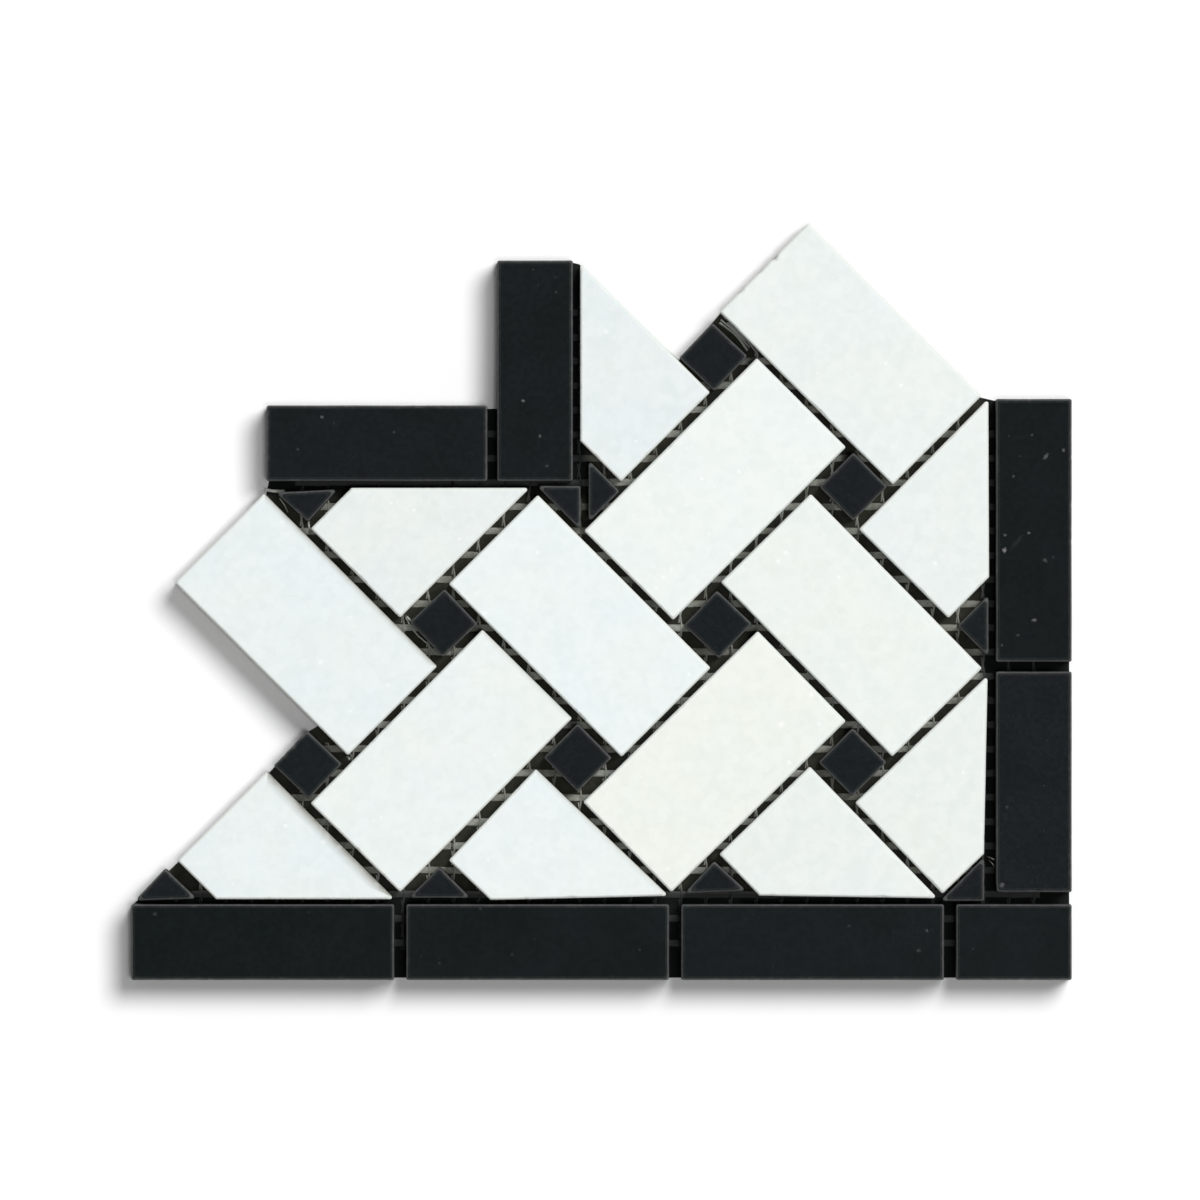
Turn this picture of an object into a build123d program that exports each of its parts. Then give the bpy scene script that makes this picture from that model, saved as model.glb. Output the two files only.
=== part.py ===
from build123d import *
import math
import os

os.makedirs("parts", exist_ok=True)

# Stones, mm
brick_length = 48.4
brick_width = 25.0
liner_width = 15.0
corner_liner_length = 22.9
stone_thickness = 9.5
arris = 0.45  # fine bevel round each polished face
brick_kerf = 0.4  # stone lost where a brick is sawn across its middle at 45 degrees
dot_kerf = 1.2  # stone lost where a dot is sawn in half on its diagonal

# Joints, mm
joint = 1.4  # between bricks, and between the patterned field and its liners
dot_joint = 1.75  # round a dot, in the square hole that four bricks leave
corner_fit = 0.5  # between the tips of a corner piece and the half bricks beside it
row_gap = 2.35  # between the ends of the liners outside the field
close_gap = 1.9  # between the ends of the two side liners, and of the two inner ones
row_overhang = 7.9  # the outer liners run on past the middle of the last half dot

# Glass-fibre net on the back, mm
net_thickness = 0.4
weft_width = 1.5  # flat strands along X
warp_width = 0.6  # twisted strands along Y
net_pitch_x = 5.0
net_pitch_y = 4.8
net_margin = 4.5  # the net is cut back this far inside the stones
net_phase_x = 0.6  # one strand of each set passes the tile's middle at this distance
net_phase_y = -0.65

# Pattern: sites are counted leftwards and upwards from the outer corner of the field
band_steps = 3  # width of the patterned band
courses = {0: (0, 6), 1: (0, 5), 2: (0, 5), 3: (0, 5), 4: (1, 3)}  # course: its first and last site

# Sizes that follow
step = ((brick_length + brick_width) / 2 + joint) / math.sqrt(2)
band = band_steps * step
brick_reach = (brick_length + brick_width) / (2 * math.sqrt(2))
brick_notch = (brick_length - brick_width) / (2 * math.sqrt(2))
half_cut = brick_width / math.sqrt(2)
hole_side = (brick_length - brick_width) / 2 + joint
dot_side = hole_side - 2 * dot_joint
dot_reach = dot_side / math.sqrt(2)
corner_leg = hole_side / math.sqrt(2) - corner_fit
last_site = courses[0][1]
top_course = max(courses)
border = joint + liner_width
row_end = last_site * step + row_overhang
column_top = band + half_cut
row_length = row_end + border
liner_length = (row_length - corner_liner_length - 3 * row_gap) / 3
side_foot = row_gap - joint
short_liner_length = column_top - liner_length - close_gap - side_foot

# The origin is at the middle of the tile, on its back
field_x = (row_end - border) / 2
field_y = (border - top_course * step - brick_reach) / 2

# How far each stone lies off its true place: right, up and turned, as shares of its joint
laid = {
    (1, 4): (-0.25, -0.25, 0),
    (2, 4): (-0.34, -0.56, 0.1),
    (3, 4): (-0.14, 0.2, 0),
    (0, 3): (0.14, 0.2, 0.07),
    (1, 3): (0.09, 0.18, 0),
    (2, 3): (-0.18, -0.11, 0),
    (4, 3): (-0.27, 0.22, 0),
    (5, 3): (-0.14, 0.06, 0.24),
    (0, 2): (0.38, -0.18, 0),
    (1, 2): (-0.16, -0.1, -0.15),
    (2, 2): (0.18, 0, 0.1),
    (3, 2): (-0.06, -0.2, 0),
    (4, 2): (0, 0.17, -0.1),
    (5, 2): (-0.21, 0, 0),
    (0, 1): (-0.27, -0.4, -0.35),
    (1, 1): (0, -0.15, 0),
    (2, 1): (-0.25, -0.11, -0.18),
    (3, 1): (-0.26, 0.36, 0),
    (4, 1): (-0.35, 0, 0.09),
    (5, 1): (0.05, -0.45, 0.1),
    (0, 0): (-0.65, -0.55, 0),
    (1, 0): (-0.42, -0.14, -0.26),
    (2, 0): (-0.1, 0.27, 0.19),
    (3, 0): (0.1, -0.28, 0.4),
    (4, 0): (-0.6, -0.55, 0),
    (5, 0): (0.15, -0.75, 0),
    (6, 0): (-0.72, -0.8, 0.15),
}
inner_corner_laid = (0.1, 0.35, 0)
inner_half_laid = (0.76, -0.42, 0)
sawn_short = {(5, 0): 0.4}  # half bricks sawn this much further inside their middle, mm


def seat(x, y, turn, play=0, half_length=1, off=(0, 0, 0)):
    """Plane on the net where a stone lies, moved and turned by shares of the play in its joint."""
    right, up, lean = off
    swing = math.degrees(math.atan(lean * play / half_length))
    place = (field_x + x + right * play, field_y + y + up * play, net_thickness)
    return Plane(origin=place).rotated((0, 0, turn + swing))


def cut_stone(name, outline, bed):
    """One stone, sawn square through the slab, with a fine bevel round its polished face."""
    with BuildPart() as stone:
        with BuildSketch(bed):
            with BuildLine():
                Polyline(*outline, close=True)
            make_face()
        extrude(amount=stone_thickness)
        chamfer(stone.faces().sort_by(Axis.Z)[-1].edges(), arris)
    stone.part.label = name
    export_step(stone.part, f"parts/{name}.step")


def half_brick(hand, short=0):
    """Outline of a brick sawn across its middle at 45 degrees, to one hand or the other."""
    cut = (brick_kerf / 2 + short) * math.sqrt(2)
    return [
        (-brick_length / 2, -brick_width / 2),
        (-hand * brick_width / 2 - cut, -brick_width / 2),
        (hand * brick_width / 2 - cut, brick_width / 2),
        (-brick_length / 2, brick_width / 2),
    ]


brick = [
    (-brick_length / 2, -brick_width / 2),
    (brick_length / 2, -brick_width / 2),
    (brick_length / 2, brick_width / 2),
    (-brick_length / 2, brick_width / 2),
]
dot = [
    (-dot_reach, 0),
    (0, -dot_reach),
    (dot_reach, 0),
    (0, dot_reach),
]
half_dot = [
    (dot_kerf / 2 - dot_reach, dot_kerf / 2),
    (dot_reach - dot_kerf / 2, dot_kerf / 2),
    (0, dot_reach),
]
corner_dot = [
    (0, 0),
    (corner_leg, 0),
    (0, corner_leg),
]

# Field: basketweave of white bricks and black dots, cut where a line of the border crosses it
counts = {"white_brick": 0, "white_half_brick": 0, "black_dot": 0, "black_half_dot": 0}


def lay(kind, outline, place, turn, off):
    """Cut the next stone of a kind and lay it at its place in the field."""
    counts[kind] += 1
    play = dot_joint if kind == "black_dot" else joint
    half_length = brick_length / 2 if kind.startswith("white") else dot_reach
    cut_stone(f"{kind}_{counts[kind]}", outline, seat(*place, turn, play, half_length, off))


def lay_brick(site, course, place, off):
    """Whole brick, or the half of it that the field keeps where a line crosses the site."""
    rising = site % 2 == 0
    short = sawn_short.get((site, course), 0)
    if site == 0 or course == 0:
        lay("white_half_brick", half_brick(1, short), place, 45 if rising else -45, off)
    elif band_steps in (site, course) and max(site, course) > band_steps:
        lay("white_half_brick", half_brick(-1, short), place, 45 if rising else 135, off)
    else:
        lay("white_brick", brick, place, 45 if rising else -45, off)


def lay_dot(site, course, place, off):
    """Whole dot, or half of it with its sawn side along the line that crosses the site."""
    if site == course == 0:
        lay("black_half_dot", corner_dot, place, 90, off)
    elif site == course == band_steps:
        lay("black_half_dot", half_dot, place, -90, inner_half_laid)
        lay("black_half_dot", corner_dot, place, 180, inner_corner_laid)
    elif course == 0:
        lay("black_half_dot", half_dot, place, 0, off)
    elif site == 0:
        lay("black_half_dot", half_dot, place, 90, off)
    elif course == band_steps and site > band_steps:
        lay("black_half_dot", half_dot, place, 180, off)
    else:
        lay("black_dot", dot, place, 0, off)


for course, (first, last) in courses.items():
    for site in range(first, last + 1):
        place = (-site * step, course * step)
        off = laid.get((site, course), (0, 0, 0))
        if (site + course) % 2:
            lay_brick(site, course, place, off)
        else:
            lay_dot(site, course, place, off)


def lay_liner(name, left, foot, width, height):
    """Black liner strip, from its lower left corner, with its length along X or Y."""
    outline = [(0, 0), (width, 0), (width, height), (0, height)]
    cut_stone(name, outline, seat(left, foot, 0))


# Liners outside the field: a row below it, which turns the corner, and a column beside it
liner_pitch = liner_length + row_gap
row_names = ["outer_liner_left", "outer_liner_middle", "outer_liner_right"]
for place, name in enumerate(row_names):
    lay_liner(name, place * liner_pitch - row_end, -border, liner_length, liner_width)
lay_liner("corner_liner", border - corner_liner_length, -border, corner_liner_length, liner_width)
side_split = column_top - liner_length
lay_liner("side_liner_lower", joint, side_foot, liner_width, short_liner_length)
lay_liner("side_liner_upper", joint, side_split, liner_width, liner_length)

# Liners inside the corner
inner_left = -band - border
inner_foot = band + joint
across_left = inner_left - close_gap - short_liner_length
lay_liner("inner_liner_upright", inner_left, inner_foot, liner_width, short_liner_length)
lay_liner("inner_liner_across", across_left, inner_foot, short_liner_length, liner_width)

# Net: its trimmed outline follows the stones, then whole meshes inside it are kept
inner_top = inner_foot + short_liner_length
top_x, top_y = -step, top_course * step
end_x = -(last_site - 1) * step
corners = [
    (-row_end, -border),
    (border, -border),
    (border, column_top),
    (top_x + brick_reach, top_y - brick_notch),
    (top_x - brick_notch, top_y + brick_reach),
    (top_x - brick_reach, top_y + brick_notch),
    (-2 * step - dot_reach, top_y),
    (-band, top_y + half_cut),
    (-band - joint, inner_top),
    (inner_left, inner_top),
    (inner_left, inner_foot + liner_width),
    (across_left, inner_foot + liner_width),
    (across_left, inner_foot),
    (end_x - brick_notch, 2 * step + brick_reach),
    (end_x - brick_reach, 2 * step + brick_notch),
    (end_x, step + dot_reach),
    (end_x - dot_reach, step),
    (end_x - brick_notch, brick_reach),
    (end_x - brick_reach, brick_notch),
    (-row_end, 0),
]
with BuildSketch() as trimmed:
    with BuildLine():
        Polyline(*[(field_x + x, field_y + y) for x, y in corners], close=True)
    make_face()
    offset(amount=-net_margin, kind=Kind.INTERSECTION)
net_face = trimmed.sketch.faces()[0]
net_box = net_face.bounding_box()


def strand_x(column):
    """Middle of the warp strand on the left of a column of meshes."""
    return net_phase_x + column * net_pitch_x


def strand_y(row):
    """Middle of the weft strand below a row of meshes."""
    return net_phase_y + row * net_pitch_y


def is_kept(column, row):
    """True where a mesh and the strands round it lie inside the trimmed outline."""
    xs = (strand_x(column) - warp_width / 2, strand_x(column + 1) + warp_width / 2)
    ys = (strand_y(row) - weft_width / 2, strand_y(row + 1) + weft_width / 2)
    return all(net_face.is_inside((x, y, 0)) for x in xs for y in ys)


first_column = math.ceil((net_box.min.X - net_phase_x) / net_pitch_x)
last_column = math.floor((net_box.max.X - net_phase_x) / net_pitch_x)
first_row = math.ceil((net_box.min.Y - net_phase_y) / net_pitch_y)
last_row = math.floor((net_box.max.Y - net_phase_y) / net_pitch_y)
meshes = [
    (column, row)
    for row in range(first_row, last_row)
    for column in range(first_column, last_column)
    if is_kept(column, row)
]


def row_runs(cells, row):
    """First and last column of each unbroken run of meshes in a row."""
    runs = []
    for column in sorted(c for c, r in cells if r == row):
        if runs and runs[-1][1] == column - 1:
            runs[-1][1] = column
        else:
            runs.append([column, column])
    return runs


def net_panel(name, columns, rows, x_seam, y_seam):
    """Part of the net: a range of its meshes, cut clear of its neighbours' strands at its seams."""
    cells = [(c, r) for c, r in meshes if c in columns and r in rows]
    high_x, high_y = strand_x(columns.stop + 1), strand_y(rows.stop + 1)
    with BuildPart() as panel:
        with BuildSketch():
            for row in rows:
                for first, last in row_runs(cells, row):
                    width = (last + 1 - first) * net_pitch_x + warp_width
                    middle = (strand_x((first + last + 1) / 2), strand_y(row + 0.5))
                    with Locations(middle):
                        Rectangle(width, net_pitch_y + weft_width)
            with Locations(((x_seam + high_x) / 2, (y_seam + high_y) / 2)):
                Rectangle(high_x - x_seam, high_y - y_seam, mode=Mode.INTERSECT)
            with Locations(*[(strand_x(c + 0.5), strand_y(r + 0.5)) for c, r in cells]):
                Rectangle(net_pitch_x - warp_width, net_pitch_y - weft_width, mode=Mode.SUBTRACT)
        extrude(amount=net_thickness)
    panel.part.label = name
    export_step(panel.part, f"parts/{name}.step")


# The net is one sheet, kept as four panels that meet end to end on the far side of a strand
left_column = first_column + (last_column - first_column) // 3
right_column = first_column + 2 * (last_column - first_column) // 3
arm_row = math.ceil((field_y + band - net_phase_y) / net_pitch_y)
start_x, start_y = strand_x(first_column - 1), strand_y(first_row - 1)
left_seam = strand_x(left_column) + warp_width / 2
right_seam = strand_x(right_column) + warp_width / 2
arm_seam = strand_y(arm_row) + weft_width / 2
all_rows = range(first_row, last_row)
field_rows = range(first_row, arm_row)
arm_rows = range(arm_row, last_row)
net_panel("backing_net_left", range(first_column, left_column), all_rows, start_x, start_y)
net_panel("backing_net_middle", range(left_column, right_column), field_rows, left_seam, start_y)
net_panel("backing_net_corner", range(right_column, last_column), field_rows, right_seam, start_y)
net_panel("backing_net_upper", range(left_column, last_column), arm_rows, left_seam, arm_seam)
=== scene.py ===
"""Looks of a basketweave border corner in polished white and black marble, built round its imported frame."""

import math

import bmesh
import bpy
from bpy.props import FloatProperty, FloatVectorProperty, IntProperty, PointerProperty
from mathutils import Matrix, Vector, noise
from mathutils.bvhtree import BVHTree


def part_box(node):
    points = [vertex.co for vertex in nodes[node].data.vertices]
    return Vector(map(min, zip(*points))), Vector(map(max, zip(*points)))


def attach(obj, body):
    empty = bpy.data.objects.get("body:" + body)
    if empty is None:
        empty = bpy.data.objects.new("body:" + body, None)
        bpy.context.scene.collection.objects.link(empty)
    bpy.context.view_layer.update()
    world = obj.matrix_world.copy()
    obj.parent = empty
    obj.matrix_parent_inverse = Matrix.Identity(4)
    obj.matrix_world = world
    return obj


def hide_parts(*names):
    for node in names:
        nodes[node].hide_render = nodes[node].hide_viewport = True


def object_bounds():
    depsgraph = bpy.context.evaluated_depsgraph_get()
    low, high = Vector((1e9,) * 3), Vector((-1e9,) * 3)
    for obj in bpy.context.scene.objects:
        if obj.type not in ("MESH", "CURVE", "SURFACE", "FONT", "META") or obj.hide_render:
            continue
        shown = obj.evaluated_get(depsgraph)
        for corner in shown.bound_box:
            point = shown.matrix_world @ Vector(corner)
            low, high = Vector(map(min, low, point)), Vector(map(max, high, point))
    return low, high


bl_info = {
    "name": "Marble border corner",
    "version": (1, 0, 0),
    "blender": (4, 5, 0),
    "location": "3D View > Sidebar > Border corner",
    "description": "Dresses the stones, net and joints of a basketweave border corner",
    "category": "Object",
}

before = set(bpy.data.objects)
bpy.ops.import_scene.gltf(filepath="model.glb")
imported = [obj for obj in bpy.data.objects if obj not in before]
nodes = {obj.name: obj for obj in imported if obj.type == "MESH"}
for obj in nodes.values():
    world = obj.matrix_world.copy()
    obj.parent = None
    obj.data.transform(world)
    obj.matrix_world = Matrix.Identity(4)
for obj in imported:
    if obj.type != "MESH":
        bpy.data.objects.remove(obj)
cad_low, cad_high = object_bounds()

# A millimetre in the frame's metres
MM = 0.001

# The body that everything rides on
BODY = "root"

# The photograph's pixel at the frame's origin, its scale and its width in pixels
PHOTO_MIDDLE = (601.5, 600.4)
PHOTO_PIXELS_PER_MM = 5.059
PHOTO_SIZE = 1200

WHITE_NAMES = sorted(n for n in nodes if n.startswith("white_"))
NET_NAMES = sorted(n for n in nodes if n.startswith("backing_net"))
BLACK_NAMES = sorted(n for n in nodes if n not in WHITE_NAMES + NET_NAMES)


def photo_point(across, down):
    """Point of the frame, in metres, that the photograph shows at a pixel."""
    return Vector((across - PHOTO_MIDDLE[0], PHOTO_MIDDLE[1] - down)) / PHOTO_PIXELS_PER_MM * MM


# How each white stone differs from the next: lightness, warmth
WHITE_TONES = {
    "white_brick_1": (-0.3, 0.9),
    "white_brick_2": (-0.2, -0.1),
    "white_brick_3": (-0.45, 0.35),
    "white_brick_4": (0.05, -0.5),
    "white_brick_5": (-0.5, -0.5),
    "white_brick_6": (0.15, 0.1),
    "white_brick_7": (-0.75, 0.0),
    "white_half_brick_1": (-0.9, 0.2),
    "white_half_brick_2": (-0.05, -0.4),
    "white_half_brick_3": (-0.35, -0.5),
    "white_half_brick_4": (-1.1, 0.3),
    "white_half_brick_5": (-0.9, 0.0),
    "white_half_brick_6": (-1.1, -0.1),
    "white_half_brick_7": (-1.2, -0.6),
}

# Edges with a band of painted shade, darkest at the edge, that stands in for the shaded side beyond: the way
# that they face, how strong, and how wide in millimetres
EDGE_SHADE_BANDS = {
    "white_half_brick_3": ((1, 1), 1.0, 2.2),
    "white_half_brick_2": ((1, 1), 0.4, 1.2),
    "white_brick_5": ((1, 1), 0.75, 1.3),
    "white_brick_2": ((1, 1), 0.35, 1.1),
}

# Chips on single stones: the pixel, how wide and how deep, in millimetres
CHIPS = {
    "white_brick_7": [(774, 256, 0.9, 0.8), (760, 270, 0.6, 0.35), (739.5, 290.5, 0.7, 0.35)],
    "black_dot_3": [(303, 735, 0.5, 0.4), (293, 745, 0.6, 0.5), (283, 755, 0.5, 0.4)],
    "side_liner_lower": [(998, 889, 1.2, 0.35)],
}

# Pale specks in the black stones: the pixel, half length and half width in millimetres, degrees, strength
SPECKS = [
    (1032, 435, 0.35, 0.3, 0, 0.25),
    (1046, 456, 0.85, 0.4, 50, 0.45),
    (1063.5, 450, 0.4, 0.4, 0, 0.45),
    (1020, 456, 0.4, 0.2, 10, 0.12),
    (1029, 533, 0.4, 0.35, 0, 0.6),
    (1004.5, 550, 0.6, 0.5, 60, 1.0),
    (1005, 535, 0.4, 0.3, 0, 0.4),
    (1017, 542, 2.4, 0.5, 50, 0.05),
    (1045, 560.5, 0.6, 0.45, -40, 0.25),
    (1053, 557, 0.35, 0.25, 0, 0.12),
    (1034, 620, 0.55, 0.35, 0, 0.6),
    (1018, 635, 0.35, 0.3, 0, 0.2),
    (1002, 645, 0.35, 0.3, 0, 0.25),
    (927, 930.5, 0.35, 0.35, 0, 0.35),
    (918.5, 950.5, 0.5, 0.45, 0, 0.2),
    (849, 926, 0.45, 0.35, 0, 0.1),
    (1007, 807, 0.4, 0.4, 0, 0.15),
    (953, 886, 0.3, 0.25, 0, 0.8),
    (1002, 885, 0.6, 0.5, 45, 0.4),
    (523, 401, 0.4, 0.35, 0, 0.6),
    (540, 436, 0.4, 0.35, 0, 0.45),
    (547, 466, 0.4, 0.3, 0, 0.2),
    (322, 417, 0.4, 0.35, 0, 0.4),
    (394, 432, 0.35, 0.3, 0, 0.15),
    (155, 914, 0.6, 0.4, 20, 0.15),
]

# Ends of fibre that have come loose from the net: their pixels, their width and height in millimetres
LOOSE_FIBRES = [
    ([(263, 489), (273, 491), (284, 491)], 0.7, 1.2),
    ([(279, 498), (284, 505), (287, 512)], 0.25, 2.0),
    ([(308, 519), (308.5, 526), (309, 533)], 0.45, 2.5),
    ([(405, 617), (411, 628), (418, 636), (425, 642), (431, 648), (434, 655)], 0.3, 3.0),
    ([(404, 615), (408, 618), (412, 623)], 0.4, 2.0),
    ([(346, 756), (349, 759), (351, 762)], 0.5, 3.0),
    ([(721, 319), (735, 331), (750, 347)], 0.35, 3.5),
    ([(724, 316), (740, 330), (753, 343)], 0.3, 4.5),
    ([(727, 322), (739, 332), (754, 348)], 0.3, 3.0),
    ([(722, 324), (731, 330), (744, 344)], 0.25, 2.5),
    ([(729, 321), (740, 336), (749, 341)], 0.45, 2.0),
    ([(720, 322), (737, 335), (748, 350)], 0.5, 1.5),
    ([(733, 325), (742, 333), (756, 351)], 0.4, 4.0),
    ([(988, 857), (993, 859), (999, 862)], 0.3, 5.0),
    ([(989, 860), (993, 864), (996, 869)], 0.25, 4.0),
]


# Values that a user may change, by their kinds


def size_value(name, description, default):
    """Length in metres."""
    return FloatProperty(name=name, description=description, default=default, unit="LENGTH")


def angle_value(name, description, default):
    """Angle in radians."""
    return FloatProperty(name=name, description=description, default=default, subtype="ANGLE")


def share_value(name, description, default):
    """Share from 0 to 1."""
    return FloatProperty(name=name, description=description, default=default, min=0, max=1, subtype="FACTOR")


def power_value(name, description, default):
    """Power of a lamp in watts."""
    return FloatProperty(name=name, description=description, default=default, unit="POWER")


def brightness_value(name, description, default):
    """Brightness of the room's light, where 1 is white."""
    return FloatProperty(name=name, description=description, default=default)


def colour_value(name, description, default):
    """Colour, as linear red, green and blue."""
    return FloatVectorProperty(name=name, description=description, default=default, subtype="COLOR", size=3)


class StoneSizes(bpy.types.PropertyGroup):
    """How the stones are sawn and how their edges have worn."""

    arris: size_value("Arris", "Width of the fine bevel round each polished face", 0.38 * MM)
    corner_radius: size_value("Corner radius", "How far the upright corners are worn round", 0.4 * MM)
    edge_spacing: size_value("Edge spacing", "Distance between points along a worn edge", 0.6 * MM)
    nick_depth: size_value(
        "Nick depth", "Deepest of the small nicks that sawing leaves along an edge", 0.22 * MM
    )
    waver: size_value("Waver", "How far a sawn side wanders from a straight line", 0.05 * MM)


class WhiteMarble(bpy.types.PropertyGroup):
    """Colours and finish of the white stones."""

    cool: colour_value("Cool", "Colour of the cooler clouds in the stone", (0.733, 0.79, 0.805))
    warm: colour_value("Warm", "Colour of the warmer clouds in the stone", (0.77, 0.805, 0.748))
    crystal: colour_value("Crystal", "Colour of the bright crystals", (0.9, 0.91, 0.9))
    # Painted shade: the arris is painted darker than the face, where the bevel would catch more light
    edge: colour_value("Edge", "Colour of the polished arris", (0.68, 0.71, 0.68))
    # Partly the sawn finish, partly painted shade: the sides are made dark so that the joints and the floor's
    # shadows beside the stones come out darker
    sawn: colour_value("Sawn", "Colour of the sawn sides and back", (0.5, 0.505, 0.485))
    # Painted shade: the brownish colour of the band along the upper-right edges of a few white stones
    stain: colour_value("Stain", "Colour of a rubbed and stained edge", (0.2, 0.195, 0.16))
    roughness: share_value("Roughness", "Roughness of the polished face", 0.2)


class BlackMarble(bpy.types.PropertyGroup):
    """Colours and finish of the black stones."""

    dark: colour_value("Dark", "Colour of the darker clouds in the stone", (0.0052, 0.0077, 0.0079))
    light: colour_value("Light", "Colour of the lighter clouds in the stone", (0.0092, 0.0119, 0.0133))
    speck: colour_value("Speck", "Colour of the pale specks", (0.17, 0.175, 0.17))
    # Partly the worn arris and partly a painted highlight: the bevel's pale line stands in for the light that
    # it catches
    edge: colour_value("Edge", "Colour of the worn arris", (0.084, 0.086, 0.084))
    sawn: colour_value("Sawn", "Colour of the sawn sides and back", (0.03, 0.032, 0.033))
    roughness: share_value("Roughness", "Roughness of the polished face", 0.08)


class NetSizes(bpy.types.PropertyGroup):
    """The glass-fibre net on the back, and the adhesive film that fills its meshes at the joints, dark with
    painted shade.
    """

    pitch_x: size_value("Pitch across", "Distance between the twisted strands", 5.0 * MM)
    pitch_y: size_value("Pitch up", "Distance between the flat strands", 4.8 * MM)
    phase_x: size_value("Phase across", "Where one twisted strand passes the tile's middle", 0.6 * MM)
    phase_y: size_value("Phase up", "Where one flat strand passes the tile's middle", -0.65 * MM)
    weft_width: size_value("Flat strand", "Width of the flat strands", 1.5 * MM)
    weft_height: size_value("Flat strand height", "Thickness of the flat strands", 0.2 * MM)
    yarn_width: size_value("Yarn", "Width of each of the two yarns twisted into a strand", 0.42 * MM)
    yarn_height: size_value("Yarn height", "Thickness of each twisted yarn", 0.18 * MM)
    yarn_swing: size_value(
        "Yarn swing", "How far the two yarns part where they bind a flat strand", 0.3 * MM
    )
    stub: size_value("Cut ends", "Length of the strand ends beyond the last mesh", 1.3 * MM)
    glue_lap: size_value(
        "Adhesive lap", "How far the adhesive reaches under the stones beside a joint", 0.6 * MM
    )
    glue_margin: size_value(
        "Adhesive margin", "How far the adhesive stays inside the tile's outline", 0.3 * MM
    )
    glue_height: size_value("Adhesive thickness", "Thickness of the adhesive film", 0.14 * MM)
    # Painted shade: the colour of the fibre in the joints beside the liners
    dusty: colour_value(
        "Dusty fibre", "Colour of the fibre beside the liners, dark with their dust", (0.055, 0.058, 0.057)
    )
    dark: colour_value(
        "Dark fibre", "Colour of the fibre where the resin has soaked in", (0.19, 0.195, 0.155)
    )
    pale: colour_value("Pale fibre", "Colour of the dry fibre", (0.57, 0.59, 0.535))
    # The adhesive film's colours: partly the adhesive's own, partly painted shade at the bottom of the
    # joints; beside the liners nearly all painted shade
    glue: colour_value(
        "Adhesive", "Colour of the adhesive film between the white stones", (0.055, 0.055, 0.042)
    )
    black_glue: colour_value(
        "Black adhesive", "Colour of the adhesive film beside the liners", (0.01, 0.011, 0.011)
    )
    steps: IntProperty(name="Steps", description="Points along each mesh of a strand", default=6, min=2)


class StudioLook(bpy.types.PropertyGroup):
    """Camera, lights and floor."""

    distance: size_value("Camera height", "Height of the camera above the polished faces", 4.0)
    key_power: power_value("Softbox power", "Power of the softbox at the upper right", 346.0)
    key_size: size_value("Softbox size", "Width of the softbox", 2.95)
    key_distance: size_value("Softbox distance", "Distance of the softbox from the tile", 6.0)
    key_lean: angle_value(
        "Softbox lean",
        "How far the softbox stands off the vertical, towards the upper right",
        math.radians(30.5),
    )
    top_power: power_value("Top light power", "Power of the small light overhead", 42.0)
    top_size: size_value("Top light size", "Width of the small light overhead", 0.55)
    top_distance: size_value("Top light height", "Height of the small light overhead", 4.6)
    top_lean: angle_value(
        "Top light lean",
        "How far the small light stands off the vertical, towards the lower right",
        math.radians(5.5),
    )
    zenith: brightness_value("Light overhead", "Brightness of the room straight above", 0.1)
    horizon: brightness_value("Light around", "Brightness of the room near the floor", 0.3)
    floor: colour_value("Floor", "Colour of the floor", (0.905, 0.905, 0.905))


class BorderCorner(bpy.types.PropertyGroup):
    """Everything that a user may change."""

    stones: PointerProperty(type=StoneSizes)
    white: PointerProperty(type=WhiteMarble)
    black: PointerProperty(type=BlackMarble)
    net: PointerProperty(type=NetSizes)
    studio: PointerProperty(type=StudioLook)


# Shader building

# Half way through the values of a noise texture or a mask
MIDDLE = 0.5

# Crystals, in widths of their cells: half the widest, the rim over which one fades, its solid share
WIDEST_CRYSTAL = 0.35
CRYSTAL_RIM = 0.15
CRYSTAL_CORE = 0.5

# Where each kind of wear begins and is full, in millimetres inwards from the arris's outer edge
OUTSIDE_SPAN = (-0.12, 0.03)
BEVEL_SPAN = (0.95, 0.7)
SAWN_SPAN = (-0.05, -0.3)

# The worn arris in widths of the arris, the size of its patches in metres, and the noise between them
ARRIS_SPAN = (1.15, 0.9)
WEAR_REACH = 3.2
WEAR_CORE = 0.4
WEAR_SIZE = 1.6 * MM
WEAR_PATCHES = (0.47, 0.62)

# How far from the liners the joints go from their painted shade to the field's own colours
FIELD_SPAN = (1.6 * MM, 4.0 * MM)

# How ragged the pale specks are, and where they begin and are full, in their half widths
RAGGED_SCALE = 2600.0
RAGGED = 1.6
SPECK_SPAN = (1.15, 0.25)

# Saw marks, in repeats to the millimetre across, along and up a stone, and the grit among them
SAW_STRETCH = (0.12, 0.12, 2.2)
GRIT_SCALE = 3.5
GRIT_SHARE = 0.5


def feed(tree, inputs, values):
    """Set a node's inputs to values, or link them to sockets."""
    for name, value in values.items():
        if isinstance(value, bpy.types.NodeSocket):
            tree.links.new(value, inputs[name])
        else:
            inputs[name].default_value = value


def node(tree, kind, inputs=None, **settings):
    """New shader node with its settings, and its inputs set to values or linked to sockets."""
    made = tree.nodes.new(kind)
    for name, value in settings.items():
        setattr(made, name, value)
    feed(tree, made.inputs, inputs or {})
    return made


def maths(tree, operation, first, second=0.0, clamp=False):
    """Result of one sum on two values or sockets."""
    made = node(tree, "ShaderNodeMath", {0: first, 1: second}, operation=operation, use_clamp=clamp)
    return made.outputs[0]


def spread(tree, value, low, high, from_low=0.0, to_high=1.0):
    """Smooth change from one value to another as a socket goes from low to high."""
    inputs = {"Value": value, "From Min": low, "From Max": high, "To Min": from_low, "To Max": to_high}
    return node(tree, "ShaderNodeMapRange", inputs, interpolation_type="SMOOTHSTEP").outputs["Result"]


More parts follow.
